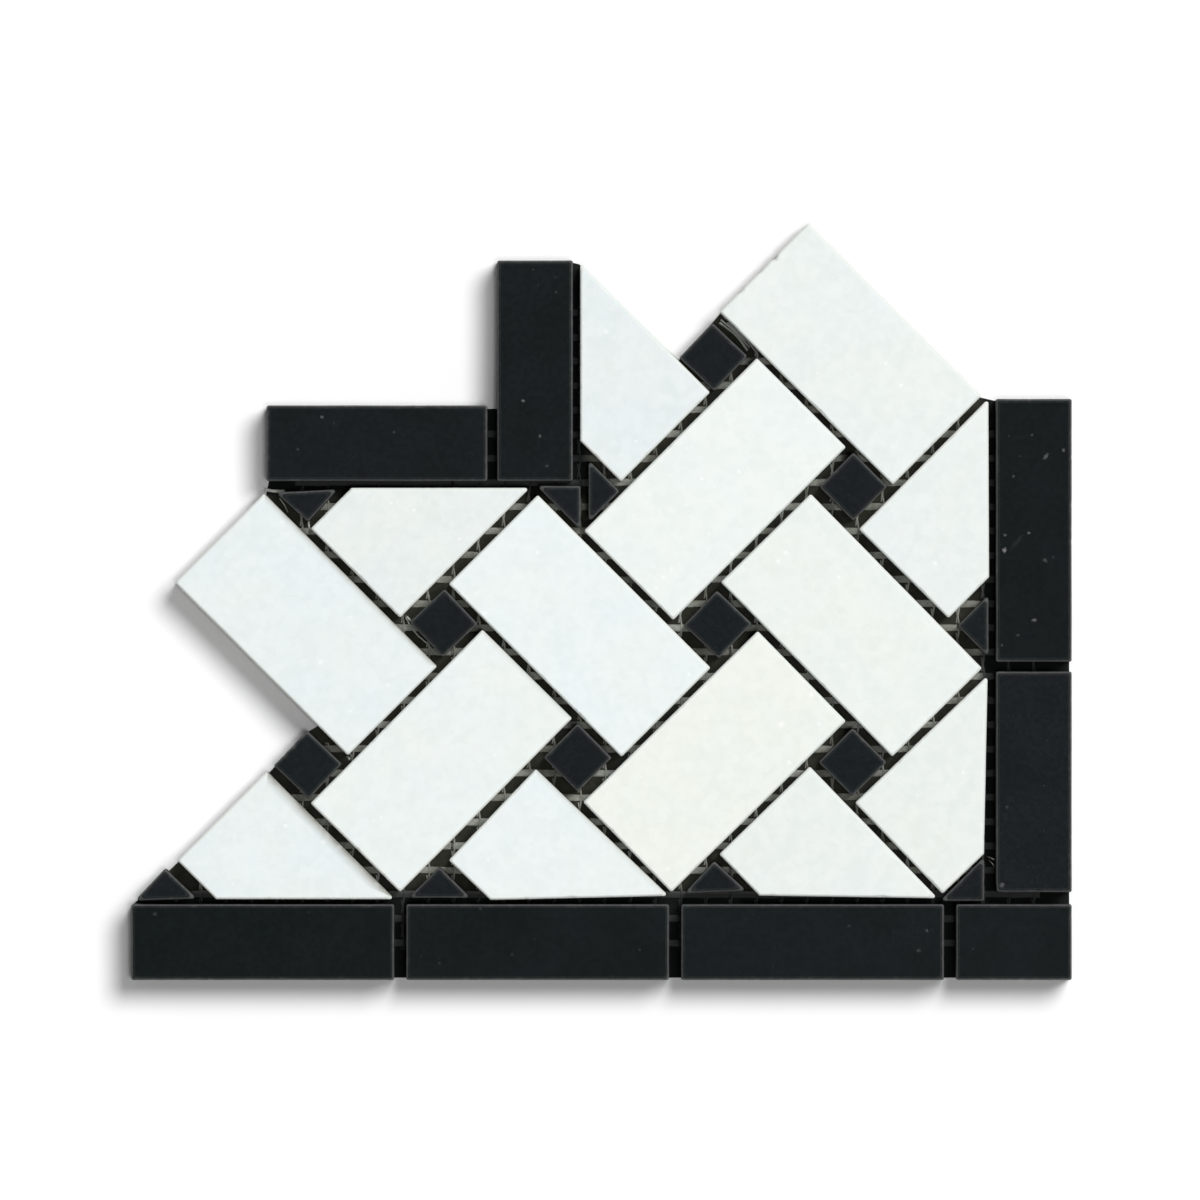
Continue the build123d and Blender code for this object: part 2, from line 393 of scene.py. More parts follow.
def between(tree, share, start, end):
    """Value that goes smoothly from one to another by a mask."""
    return spread(tree, share, 0.0, 1.0, start, end)


def paint(tree, share, under, over, blend_type="MIX"):
    """Colour that goes from one to another by a mask."""
    rgba = [value if isinstance(value, bpy.types.NodeSocket) else (*value, 1.0) for value in (under, over)]
    inputs = {0: share, 6: rgba[0], 7: rgba[1]}
    made = node(tree, "ShaderNodeMix", inputs, data_type="RGBA", blend_type=blend_type)
    return made.outputs[2]


def tinted(tree, colour, level):
    """Colour made evenly lighter or darker by a level near 1."""
    even = node(tree, "ShaderNodeCombineXYZ", {0: level, 1: level, 2: level}).outputs[0]
    return paint(tree, 1.0, colour, even, "MULTIPLY")


def new_group(name, inputs, outputs):
    """Empty shader node group with its sockets. Returns it with its inner input and output sockets."""
    tree = bpy.data.node_groups.new(name, "ShaderNodeTree")
    for label, kind, value in inputs:
        socket = tree.interface.new_socket(label, in_out="INPUT", socket_type="NodeSocket" + kind)
        if value is not None:
            socket.default_value = value
    for label in outputs:
        tree.interface.new_socket(label, in_out="OUTPUT", socket_type="NodeSocketFloat")
    return tree, tree.nodes.new("NodeGroupInput").outputs, tree.nodes.new("NodeGroupOutput").inputs


def shifted(tree, position, shift, size):
    """Position counted in sizes of a pattern, in the part of the pattern that a stone was cut from."""
    per_size = maths(tree, "DIVIDE", 1.0, size)
    counted = node(tree, "ShaderNodeVectorMath", {0: position, 3: per_size}, operation="SCALE").outputs[0]
    away = node(tree, "ShaderNodeCombineXYZ", {0: shift, 1: shift, 2: shift}).outputs[0]
    return node(tree, "ShaderNodeVectorMath", {0: counted, 1: away}, operation="ADD").outputs[0]


def stone_clouds(name):
    """Group: soft clouds in the stone."""
    sockets = [("Position", "Vector", None), ("Shift", "Float", 0.0), ("Size", "Float", 0.02)]
    tree, given, out = new_group(name, sockets + [("Sharpness", "Float", 0.2)], ["Mask"])
    place = shifted(tree, given["Position"], given["Shift"], given["Size"])
    inputs = {"Vector": place, "Scale": 1.0, "Detail": 4.0, "Roughness": 0.55, "Distortion": 0.6}
    cloud = node(tree, "ShaderNodeTexNoise", inputs).outputs["Fac"]
    low = maths(tree, "SUBTRACT", MIDDLE, given["Sharpness"])
    high = maths(tree, "ADD", MIDDLE, given["Sharpness"])
    tree.links.new(spread(tree, cloud, low, high), out["Mask"])


def stone_crystals(name):
    """Group: the stone's crystals, each with its own chance value, and the few that stand out."""
    sockets = [("Position", "Vector", None), ("Shift", "Float", 0.0), ("Size", "Float", 0.001)]
    tree, given, out = new_group(name, sockets + [("Share", "Float", 0.05)], ["Grain", "Speck"])
    place = shifted(tree, given["Position"], given["Shift"], given["Size"])
    cells = node(tree, "ShaderNodeTexVoronoi", {"Vector": place, "Scale": 1.0}).outputs
    chance = node(tree, "ShaderNodeSeparateColor", {0: cells["Color"]}).outputs
    few = maths(tree, "SUBTRACT", 1.0, given["Share"])
    chosen = maths(tree, "GREATER_THAN", chance["Red"], few)
    reach = maths(tree, "MULTIPLY", chance["Green"], WIDEST_CRYSTAL)
    rim = maths(tree, "ADD", reach, CRYSTAL_RIM)
    near = spread(tree, cells["Distance"], rim, maths(tree, "MULTIPLY", reach, CRYSTAL_CORE))
    tree.links.new(chance["Blue"], out["Grain"])
    tree.links.new(maths(tree, "MULTIPLY", chosen, near), out["Speck"])


def edge_wear(name):
    """Group: masks by the millimetres from the arris's outer edge, with the wear broken up along it."""
    sockets = [("Position", "Vector", None), ("Shift", "Float", 0.0), ("From edge", "Float", 0.0)]
    sockets.append(("Width", "Float", 0.6))
    tree, given, out = new_group(name, sockets, ["Arris", "Bevel", "Wear", "Sawn"])
    away = given["From edge"]
    outside = spread(tree, away, *OUTSIDE_SPAN)
    begins, full = [maths(tree, "MULTIPLY", given["Width"], widths) for widths in ARRIS_SPAN]
    place = shifted(tree, given["Position"], given["Shift"], WEAR_SIZE)
    inputs = {"Vector": place, "Scale": 1.0, "Detail": 5.0, "Roughness": 0.7}
    broken = node(tree, "ShaderNodeTexNoise", inputs).outputs["Fac"]
    wide = maths(tree, "MULTIPLY", given["Width"], maths(tree, "MULTIPLY", broken, WEAR_REACH))
    worn = spread(tree, away, wide, maths(tree, "MULTIPLY", wide, WEAR_CORE))
    worn = maths(tree, "MULTIPLY", worn, spread(tree, broken, *WEAR_PATCHES))
    tree.links.new(maths(tree, "MULTIPLY", outside, spread(tree, away, begins, full)), out["Arris"])
    tree.links.new(maths(tree, "MULTIPLY", outside, spread(tree, away, *BEVEL_SPAN)), out["Bevel"])
    tree.links.new(maths(tree, "MULTIPLY", outside, worn), out["Wear"])
    tree.links.new(spread(tree, away, *SAWN_SPAN), out["Sawn"])


def field_of_border(name):
    """Group: 0 in the joints beside the black liners, 1 in the field between them."""
    tree, given, out = new_group(name, [("Position", "Vector", None)], ["Field"])
    place = node(tree, "ShaderNodeSeparateXYZ", {0: given["Position"]}).outputs
    above_row = maths(tree, "SUBTRACT", place["Y"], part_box("outer_liner_middle")[1].y)
    left_of_side = maths(tree, "SUBTRACT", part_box("side_liner_upper")[0].x, place["X"])
    right_of_inner = maths(tree, "SUBTRACT", place["X"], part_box("inner_liner_upright")[1].x)
    below_inner = maths(tree, "SUBTRACT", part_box("inner_liner_across")[0].y, place["Y"])
    outer = maths(tree, "MINIMUM", above_row, left_of_side)
    nearest = maths(tree, "MINIMUM", outer, maths(tree, "MAXIMUM", right_of_inner, below_inner))
    tree.links.new(spread(tree, nearest, *FIELD_SPAN), out["Field"])


def pale_specks(name):
    """Group: the pale specks that can be told apart in the photograph, each at its own place."""
    tree, given, out = new_group(name, [("Position", "Vector", None)], ["Mask"])
    inputs = {"Vector": given["Position"], "Scale": RAGGED_SCALE, "Detail": 2.0}
    uneven = node(tree, "ShaderNodeTexNoise", inputs).outputs["Fac"]
    off = maths(tree, "MULTIPLY", maths(tree, "SUBTRACT", uneven, MIDDLE), RAGGED)
    mask = 0.0
    for across, down, long, wide, degrees, strength in SPECKS:
        middle = photo_point(across, down)
        turned = {
            "Vector": given["Position"],
            "Location": (middle.x, middle.y, 0),
            "Rotation": (0, 0, math.radians(degrees)),
            "Scale": (long * MM, wide * MM, 1),
        }
        place = node(tree, "ShaderNodeMapping", turned, vector_type="TEXTURE").outputs[0]
        flat = node(tree, "ShaderNodeVectorMath", {0: place, 1: (1, 1, 0)}, operation="MULTIPLY").outputs[0]
        away = node(tree, "ShaderNodeVectorMath", {0: flat}, operation="LENGTH").outputs["Value"]
        speck = spread(tree, maths(tree, "ADD", away, off), *SPECK_SPAN, 0.0, strength)
        mask = maths(tree, "MAXIMUM", mask, speck)
    tree.links.new(mask, out["Mask"])


def saw_marks(name):
    """Group: height of the marks that the saw leaves on the sides and back."""
    sockets = [("Position", "Vector", None), ("Shift", "Float", 0.0)]
    tree, given, out = new_group(name, sockets, ["Height"])
    place = shifted(tree, given["Position"], given["Shift"], MM)
    lines = node(tree, "ShaderNodeMapping", {"Vector": place, "Scale": SAW_STRETCH}).outputs[0]
    marks = node(tree, "ShaderNodeTexNoise", {"Vector": lines, "Scale": 1.0, "Detail": 3.0}).outputs["Fac"]
    inputs = {"Vector": place, "Scale": GRIT_SCALE, "Detail": 2.0}
    grit = node(tree, "ShaderNodeTexNoise", inputs).outputs["Fac"]
    tree.links.new(maths(tree, "ADD", marks, maths(tree, "MULTIPLY", grit, GRIT_SHARE)), out["Height"])


def use(tree, build, **inputs):
    """Place a node group with its own values, and build it first where it is new. Returns its outputs."""
    name = build.__name__.replace("_", " ").capitalize()
    if name not in bpy.data.node_groups:
        build(name)
    made = tree.nodes.new("ShaderNodeGroup")
    made.node_tree = bpy.data.node_groups[name]
    feed(tree, made.inputs, {label.replace("_", " "): value for label, value in inputs.items()})
    return made.outputs


def new_material(name):
    """Material with its node tree, its Principled shader and the place in the frame."""
    material = bpy.data.materials.new(name)
    material.use_nodes = True
    tree = material.node_tree
    return material, tree, tree.nodes["Principled BSDF"], node(tree, "ShaderNodeTexCoord").outputs["Object"]


def read(tree, name, kind="GEOMETRY"):
    """Value that the mesh, or the piece as a whole, carries under a name."""
    return node(tree, "ShaderNodeAttribute", attribute_name=name, attribute_type=kind).outputs["Fac"]


def stone_bumps(tree, position, shift, edges, wear_depth):
    """Normal of a stone: saw marks on its sides, and wear let in along its edges."""
    marks = use(tree, saw_marks, Position=position, Shift=shift)["Height"]
    height = maths(tree, "MULTIPLY", marks, edges["Sawn"])
    height = maths(tree, "SUBTRACT", height, maths(tree, "MULTIPLY", edges["Wear"], wear_depth))
    bump = node(tree, "ShaderNodeBump", {"Strength": 0.6, "Distance": 0.08 * MM, "Height": height})
    return bump.outputs[0]


# How strongly the white marble's clouds, grain, crystals and fine veil show, and a stone's own lightness
WHITE_CLOUDS = 0.36
WHITE_GRAIN = (0.983, 1.012)
WHITE_CRYSTALS = 0.5
WHITE_VEIL = 0.15
WHITE_TONE = 0.04

# How little of the painted edge shade is left in its thinnest patches
THINNEST_EDGE_SHADE = 0.75

# What the grain, the sawn sides and the matt places add to the white marble's roughness, how matt wear
# is, how dull a bevel is, and the dullness at which the polish is gone
WHITE_UNEVEN = 0.03
WHITE_SAWN = 0.5
WHITE_MATT = 0.6
WHITE_WEAR = 0.3
WHITE_BEVEL = 0.5
WHITE_DULLEST = 0.6

# The white marble's polish is a coat: its weight, and the specular level of the stone under it
WHITE_POLISH = 0.75
WHITE_DULL_LEVEL = 0.05


def white_marble(look):
    """Polished white marble: faint warm and cool clouds, sugary grain, bright crystals, sawn sides; painted
    shade darkens the sides, the arris and a band along some upper-right edges.
    """
    material, tree, shader, position = new_material("Polished white marble")
    shift = read(tree, "shift", "OBJECT")
    from_edge = read(tree, "from_edge")
    clouds = use(tree, stone_clouds, Position=position, Shift=shift, Size=0.016, Sharpness=0.22)["Mask"]
    clouds = maths(tree, "ADD", maths(tree, "MULTIPLY", clouds, WHITE_CLOUDS), (1 - WHITE_CLOUDS) / 2)
    warmth = maths(tree, "ADD", clouds, read(tree, "warmth", "OBJECT"), clamp=True)
    colour = paint(tree, warmth, look.cool, look.warm)
    grain = use(tree, stone_crystals, Position=position, Shift=shift, Size=0.0015, Share=0.035)
    lighter = maths(tree, "MULTIPLY", read(tree, "lightness", "OBJECT"), WHITE_TONE)
    colour = tinted(tree, colour, maths(tree, "ADD", between(tree, grain["Grain"], *WHITE_GRAIN), lighter))
    colour = paint(tree, maths(tree, "MULTIPLY", grain["Speck"], WHITE_CRYSTALS), colour, look.crystal)
    veil = use(tree, stone_clouds, Position=position, Shift=shift, Size=0.0035, Sharpness=0.12)["Mask"]
    colour = paint(tree, maths(tree, "MULTIPLY", veil, WHITE_VEIL), colour, look.crystal)
    edges = use(tree, edge_wear, Position=position, Shift=shift, From_edge=from_edge, Width=0.6)
    # Painted shade on the arris, darker than the face
    colour = paint(tree, edges["Arris"], colour, look.edge)
    # Painted shade: a brownish band along the upper-right edges of a few stones, in place of their shaded
    # sides; it also dulls the polish there
    edge_shaded = maths(tree, "MULTIPLY", read(tree, "painted_edge_shade"), between(tree, veil, THINNEST_EDGE_SHADE, 1.0))
    colour = paint(tree, edge_shaded, colour, look.stain)
    # Sawn sides and back, darkened in part with painted shade
    colour = paint(tree, edges["Sawn"], colour, look.sawn)
    rough = between(tree, grain["Grain"], look.roughness - WHITE_UNEVEN, look.roughness + WHITE_UNEVEN)
    rough = maths(tree, "ADD", rough, maths(tree, "MULTIPLY", edges["Sawn"], WHITE_SAWN))
    matt = maths(tree, "ADD", edge_shaded, maths(tree, "MULTIPLY", edges["Wear"], WHITE_WEAR), clamp=True)
    dull = maths(tree, "MAXIMUM", edge_shaded, maths(tree, "MULTIPLY", edges["Bevel"], WHITE_BEVEL))
    dull = maths(tree, "MAXIMUM", dull, edges["Sawn"])
    feed(tree, shader.inputs, {
        "Base Color": colour,
        "Roughness": maths(tree, "ADD", rough, maths(tree, "MULTIPLY", matt, WHITE_MATT), clamp=True),
        "Specular IOR Level": WHITE_DULL_LEVEL,
        "Coat Weight": spread(tree, dull, 0.0, WHITE_DULLEST, WHITE_POLISH, 0.0),
        "Coat Roughness": look.roughness,
        "Normal": stone_bumps(tree, position, shift, edges, wear_depth=0.4),
    })
    return material


# How strongly the black marble's clouds, grain and grit show
BLACK_CLOUDS = 0.75
BLACK_GRAIN = (0.9, 1.1)
BLACK_GRIT = 0.35

# How pale the arris is where it isn't worn, which is a painted highlight, and the face where it is scuffed
UNWORN_ARRIS_HIGHLIGHT = 0.75
SCUFFED_FACE = 0.2

# What the clouds and the matt places add to the black marble's roughness
BLACK_UNEVEN = 0.01
BLACK_MATT = 0.55

# The black marble's polish is a coat: its weight, and the specular level of the stone under it
BLACK_POLISH = 0.5
BLACK_DULL_LEVEL = 0.15


def black_marble(look):
    """Polished black marble: a faint blue cast, sparse pale specks, a grey arris that is partly worn and
    partly a painted highlight.
    """
    material, tree, shader, position = new_material("Polished black marble")
    shift = read(tree, "shift", "OBJECT")
    from_edge = read(tree, "from_edge")
    clouds = use(tree, stone_clouds, Position=position, Shift=shift, Size=0.012, Sharpness=0.4)["Mask"]
    cast = maths(tree, "MULTIPLY", maths(tree, "SUBTRACT", clouds, MIDDLE), BLACK_CLOUDS)
    cast = maths(tree, "ADD", cast, read(tree, "lightness", "OBJECT"), clamp=True)
    colour = paint(tree, cast, look.dark, look.light)
    grain = use(tree, stone_crystals, Position=position, Shift=shift, Size=0.0009, Share=0.006)
    colour = tinted(tree, colour, between(tree, grain["Grain"], *BLACK_GRAIN))
    gritty = maths(tree, "MULTIPLY", read(tree, "gritty", "OBJECT"), BLACK_GRIT)
    grit = maths(tree, "MULTIPLY", grain["Speck"], gritty)
    specks = maths(tree, "MAXIMUM", grit, use(tree, pale_specks, Position=position)["Mask"])
    colour = paint(tree, specks, colour, look.speck)
    edges = use(tree, edge_wear, Position=position, Shift=shift, From_edge=from_edge, Width=0.48)
    # Painted highlight in part: the arris stays pale where it isn't worn, and wear makes it paler still
    worn = maths(tree, "MULTIPLY", edges["Arris"], between(tree, edges["Wear"], UNWORN_ARRIS_HIGHLIGHT, 1.0))
    worn = maths(tree, "MAXIMUM", worn, maths(tree, "MULTIPLY", edges["Wear"], SCUFFED_FACE))
    colour = paint(tree, edges["Sawn"], colour, look.sawn)
    colour = paint(tree, worn, colour, look.edge)
    rough = between(tree, clouds, look.roughness - BLACK_UNEVEN, look.roughness + BLACK_UNEVEN)
    matt = maths(tree, "MAXIMUM", edges["Sawn"], maths(tree, "MAXIMUM", worn, edges["Bevel"]))
    feed(tree, shader.inputs, {
        "Base Color": colour,
        "Roughness": maths(tree, "ADD", rough, maths(tree, "MULTIPLY", matt, BLACK_MATT), clamp=True),
        "Specular IOR Level": BLACK_DULL_LEVEL,
        "Coat Weight": between(tree, matt, BLACK_POLISH, 0.0),
        "Coat Roughness": look.roughness,
        "Normal": stone_bumps(tree, position, shift, edges, wear_depth=0.3),
    })
    return material


# Filaments of the fibre: how many cross a strand, the noise between them, and the paleness that stays there
FILAMENTS_ACROSS = 7.0
FILAMENT_SPAN = (0.35, 0.65)
BETWEEN_FILAMENTS = 0.35

# Noise over which the fibre's roughness goes, and from which roughness to which
FIBRE_SPAN = (0.3, 0.7)
FIBRE_ROUGHNESS = (0.4, 0.65)

# Specular level of the dusty fibre, and weight and roughness of the clean resin on it in the field
FIBRE_LEVEL = 0.08
RESIN_WEIGHT = 0.54
RESIN_ROUGHNESS = 0.5


def glass_fibre(look):
    """Resin-coated glass fibre: fine filaments along each strand, darker where the resin soaked in, and dark
    with painted shade beside the liners.
    """
    material, tree, shader, position = new_material("Resin-coated glass fibre")
    across = maths(tree, "MULTIPLY", read(tree, "across"), FILAMENTS_ACROSS)
    place = node(tree, "ShaderNodeCombineXYZ", {0: across, 1: read(tree, "along")}).outputs[0]
    inputs = {"Vector": place, "Scale": 0.9, "Detail": 3.0, "Distortion": 0.2}
    filaments = node(tree, "ShaderNodeTexNoise", inputs).outputs["Fac"]
    patches = use(tree, stone_clouds, Position=position, Shift=3.0, Size=0.006, Sharpness=0.2)["Mask"]
    dry = maths(tree, "MULTIPLY", patches, spread(tree, filaments, *FILAMENT_SPAN, BETWEEN_FILAMENTS, 1.0))
    field = use(tree, field_of_border, Position=position)["Field"]
    # Painted shade on the fibre beside the liners, the fibre's own colours in the field
    colour = paint(tree, field, look.dusty, paint(tree, dry, look.dark, look.pale))
    colour = paint(tree, read(tree, "loose"), colour, look.pale)
    bump = node(tree, "ShaderNodeBump", {"Strength": 0.5, "Distance": 0.05 * MM, "Height": filaments})
    feed(tree, shader.inputs, {
        "Base Color": colour,
        "Roughness": spread(tree, filaments, *FIBRE_SPAN, *FIBRE_ROUGHNESS),
        "Specular IOR Level": FIBRE_LEVEL,
        "Coat Weight": between(tree, field, 0.0, RESIN_WEIGHT),
        "Coat Roughness": RESIN_ROUGHNESS,
        "Normal": bump.outputs[0],
    })
    return material


# Darkest patches of the adhesive film, whose colour is partly painted shade, as a share of its colour, and
# its roughness from patch to patch
ADHESIVE_SHADE = 0.5
ADHESIVE_ROUGHNESS = (0.6, 0.85)


def dark_adhesive(look):
    """Adhesive film at the bottom of the joints, dark partly with its own colour and partly with painted
    shade.
    """
    material, tree, shader, position = new_material("Dark adhesive")
    patches = use(tree, stone_clouds, Position=position, Shift=7.0, Size=0.0022, Sharpness=0.3)["Mask"]
    field = use(tree, field_of_border, Position=position)["Field"]
    darkest = [ADHESIVE_SHADE * part for part in look.glue]
    bump = node(tree, "ShaderNodeBump", {"Strength": 0.5, "Distance": 0.1 * MM, "Height": patches})
    feed(tree, shader.inputs, {
        # Painted shade: the film darkens the joints' bottoms, most of all beside the liners
        "Base Color": paint(tree, field, look.black_glue, paint(tree, patches, darkest, look.glue)),
        "Roughness": between(tree, patches, *ADHESIVE_ROUGHNESS),
        "Specular IOR Level": 0.08,
        "Normal": bump.outputs[0],
    })
    return material


# Outlines

# A stone's bed is all that lies this near its lowest point. Its corners are rounded to micrometres
BED_HEIGHT = 0.1 * MM
DECIMALS = 6

# Points on the arc of a corner that is worn round
CORNER_POINTS = 4


def footprint(name):
    """Corners of a stone's bed, anticlockwise, from the lowest points of its CAD node."""
    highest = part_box(name)[0].z + BED_HEIGHT
    bed = [v.co for v in nodes[name].data.vertices if v.co.z < highest]
    corners = {(round(place.x, DECIMALS), round(place.y, DECIMALS)) for place in bed}
    points = [Vector(point) for point in sorted(corners)]
    middle = sum(points, Vector((0, 0))) / len(points)
    return sorted(points, key=lambda point: math.atan2(point.y - middle.y, point.x - middle.x))


def tip(name, right, up):
    """Corner of a stone's bed that lies furthest one way."""
    return max(footprint(name), key=lambda point: point.x * right + point.y * up)


def pairs(points):
    """Each point of a closed outline with the one after it."""
    return list(zip(points, points[1:] + points[:1]))


def triples(points):
    """Each point of a closed outline between the ones before and after it."""
    return list(zip(points[-1:] + points[:-1], points, points[1:] + points[:1]))


def inset(corners, distance):
    """The same outline, every side moved in by a distance."""
    moved = []
    for before, corner, after in triples(corners):
        sides = [(corner - before).normalized(), (after - corner).normalized()]
        inward = [Vector((-side.y, side.x)) for side in sides]
        moved.append(corner + distance * (inward[0] + inward[1]) / (1 + inward[0].dot(inward[1])))
    return moved


def inner_radius(corners):
    """Radius of the circle that fits in a convex outline, near enough."""
    area = sum(a.x * b.y - b.x * a.y for a, b in pairs(corners)) / 2
    return 2 * area / sum((b - a).length for a, b in pairs(corners))


def rotated(arm, angle):
    """A flat vector turned anticlockwise."""
    cosine, sine = math.cos(angle), math.sin(angle)
    return Vector((arm.x * cosine - arm.y * sine, arm.x * sine + arm.y * cosine))


def rounded(corners, radius, counts):
    """Points round an outline: an arc at each corner, then the points of the side that follows it."""
    arcs = []
    for before, corner, after in triples(corners):
        back, onward = (before - corner).normalized(), (after - corner).normalized()
        half = back.angle(onward) / 2
        middle = corner + (back + onward).normalized() * (radius / math.sin(half))
        start = corner + back * (radius / math.tan(half)) - middle
        turn = (math.pi - 2 * half) / (CORNER_POINTS - 1)
        arcs.append([middle + rotated(start, turn * i) for i in range(CORNER_POINTS)])
    points = []
    for (arc, following), count in zip(pairs(arcs), counts):
        points += arc
        points += [arc[-1].lerp(following[0], i / count) for i in range(1, count)]
    return points


# Stones

# Rings round a stone from its back to its face: sideways in arrises from the side, height in arrises
# from the back (first three) or the face, and how much of a nick's depth goes in and down there
BACK_RINGS = [(1.2, 0.0), (0.3, 0.0), (0.0, 0.35)]
ARRIS_FOOT = 1.05
FACE_RINGS = [
    (0.0, -6.0, 0.0, 0.0),
    (0.0, -ARRIS_FOOT, 0.35, 0.5),
    (0.1, -0.75, 0.8, 0.9),
    (0.75, -0.1, 1.0, 0.8),
    (1.05, 0.0, 1.1, 0.0),
    (1.7, 0.0, 0.5, 0.0),
    (3.0, 0.0, 0.1, 0.0),
    (5.6, 0.0, 0.0, 0.0),
]

# The innermost ring, as a share of the circle that fits in a stone, and the fewest points along a side
DEEPEST_RING = 0.55
FEWEST_POINTS = 3

# How long the two kinds of nicks are, how much each counts, what is too shallow to show, and the rest's gain
COARSE_NICK, FINE_NICK = 2.6 * MM, 0.8 * MM
COARSE_SHARE, FINE_SHARE = 0.7, 0.6
SHALLOWEST_NICK = 0.22
NICK_GAIN = 1.3

# How far down from the face a chip runs out, and how long a side's waver is
CHIP_HEIGHT = 3 * MM
WAVER_LENGTH = 9 * MM

# How fast the painted shade along an edge fades inwards and as a side turns away, and the deepest distance
# from an edge that the marble's masks need, in millimetres
EDGE_SHADE_FADING = 1.5
EDGE_SHADE_FACING = 8
DEEPEST_MASK = -2.0


def nick(point, seed):
    """How deep the edge is nicked at a point, as a share of the deepest nick."""
    coarse = noise.noise(Vector((point.x, point.y, 0)) / COARSE_NICK + Vector((0, 0, seed)))
    fine = noise.noise(Vector((point.x, point.y, 0)) / FINE_NICK + Vector((seed, 0, 0)))
    return max(0.0, coarse * COARSE_SHARE + fine * FINE_SHARE - SHALLOWEST_NICK) * NICK_GAIN


def chip(point, name):
    """How far a stone is chipped away at a point, in metres."""
    depth = 0.0
    for across, down, width, deep in CHIPS.get(name, []):
        away = (point - photo_point(across, down)).length / (width * MM)
        depth = max(depth, deep * MM * (1 - away))
    return depth


def wavering(point, seed):
    """How far a side has wandered inwards at a point, as a share of the most."""
    return 0.5 + 0.5 * noise.noise(point.to_3d() / WAVER_LENGTH + Vector((0, seed, 0)))


def skin(mesh, rings):
    """Add faces from each ring of points to the next, and one over either end."""
    for under, over in zip(rings, rings[1:]):
        for i in range(len(under)):
            j = (i + 1) % len(under)
            mesh.faces.new((under[i], under[j], over[j], over[i]))
    mesh.faces.new(rings[0][::-1])
    mesh.faces.new(rings[-1])


def stone_mesh(name, sizes, seed):
    """Mesh of a sawn stone: worn arris, small nicks and upright corners worn round."""
    corners = footprint(name)
    low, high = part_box(name)
    arris = sizes.arris
    deepest = DEEPEST_RING * inner_radius(corners)
    counts = [max(FEWEST_POINTS, round((b - a).length / sizes.edge_spacing)) for a, b in pairs(corners)]
    faces_way, painted_edge_shade_strength, painted_edge_shade_width = EDGE_SHADE_BANDS.get(name, ((0, 0), 0.0, 1.0))
    faces_way = Vector(faces_way).normalized()
    outer = rounded(corners, sizes.corner_radius, counts)
    inner = rounded(inset(corners, deepest), sizes.corner_radius, counts)
    inward = [(b - a).normalized() for a, b in zip(outer, inner)]
    onward = [(after - before).normalized() for before, point, after in triples(outer)]
    facing = [max(0.0, Vector((way.y, -way.x)).dot(faces_way)) for way in onward]
    nicks = [nick(point, seed) * sizes.nick_depth for point in outer]
    chips = [chip(point, name) for point in outer]
    waver = [sizes.waver * wavering(point, seed) for point in outer]
    rings = [(side * arris, low.z + rise * arris, 0, 0) for side, rise in BACK_RINGS]
    rings += [
        (min(side * arris, deepest), high.z + rise * arris, go_in, down)
        for side, rise, go_in, down in FACE_RINGS
    ]

    mesh = bmesh.new()
    edge_layer = mesh.verts.layers.float.new("from_edge")
    painted_edge_shade_layer = mesh.verts.layers.float.new("painted_edge_shade")
    made = []
    for side, height, go_in, down in rings:
        ring = []
        up_the_side = min(0.0, height - high.z + ARRIS_FOOT * arris)
        up_the_arris = max(0.0, height - high.z + ARRIS_FOOT * arris)
        from_edge = up_the_side + math.hypot(side, up_the_arris)
        near_side = max(0.0, 1 - side / deepest)
        near_face = max(0.0, 1 + (height - high.z) / CHIP_HEIGHT)
        for i, point in enumerate(rounded(inset(corners, side), sizes.corner_radius, counts)):
            gone = (waver[i] + chips[i] * near_face) * near_side
            place = point + inward[i] * (nicks[i] * go_in + gone)
            vertex = mesh.verts.new((place.x, place.y, height - nicks[i] * down))
            vertex[edge_layer] = max(DEEPEST_MASK, from_edge / MM)
            # Painted shade along the edges that face the given way, fading inwards
            fading = max(0.0, 1 - side / MM / painted_edge_shade_width) ** EDGE_SHADE_FADING
            vertex[painted_edge_shade_layer] = painted_edge_shade_strength * facing[i] ** EDGE_SHADE_FACING * fading
            ring.append(vertex)
        made.append(ring)
    skin(mesh, made)
    bmesh.ops.triangulate(mesh, faces=[face for face in mesh.faces if len(face.verts) > 4])
    return finished(mesh, name)


def finished(mesh, name):
    """Turn a bmesh into a smooth-shaded mesh, facing out."""
    bmesh.ops.recalc_face_normals(mesh, faces=mesh.faces)
    for face in mesh.faces:
        face.smooth = True
    data = bpy.data.meshes.new(name)
    mesh.to_mesh(data)
    mesh.free()
    return data


def place_piece(name, data, material, replaced=()):
    """Add a piece to the scene, riding on the tile, in the place of CAD nodes."""
    data.materials.append(material)
    piece = bpy.data.objects.new(name, data)
    bpy.context.scene.collection.objects.link(piece)
    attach(piece, BODY)
    if replaced:
        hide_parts(*replaced)
    return piece


# First seed of the white stones' grain, the step from one to the next, and how much of a warmth shows
WHITE_SEEDS = (11.3, 5.7)
WARMTH_SHARE = 0.5


class BORDER_OT_white_stones(bpy.types.Operator):
    """Lay the white bricks and half bricks, in polished white marble"""

    bl_idname = "border_corner.white_stones"
    bl_label = "White stones"

    def execute(self, context):
        corner = context.scene.border_corner
        marble = white_marble(corner.white)
        for count, name in enumerate(WHITE_NAMES):
            seed = WHITE_SEEDS[0] + WHITE_SEEDS[1] * count
            data = stone_mesh(name, corner.stones, seed)
            piece = place_piece("polished_" + name, data, marble, [name])
            piece["shift"] = seed
            piece["lightness"], warmth = WHITE_TONES[name]
            piece["warmth"] = warmth * WARMTH_SHARE
        return {"FINISHED"}


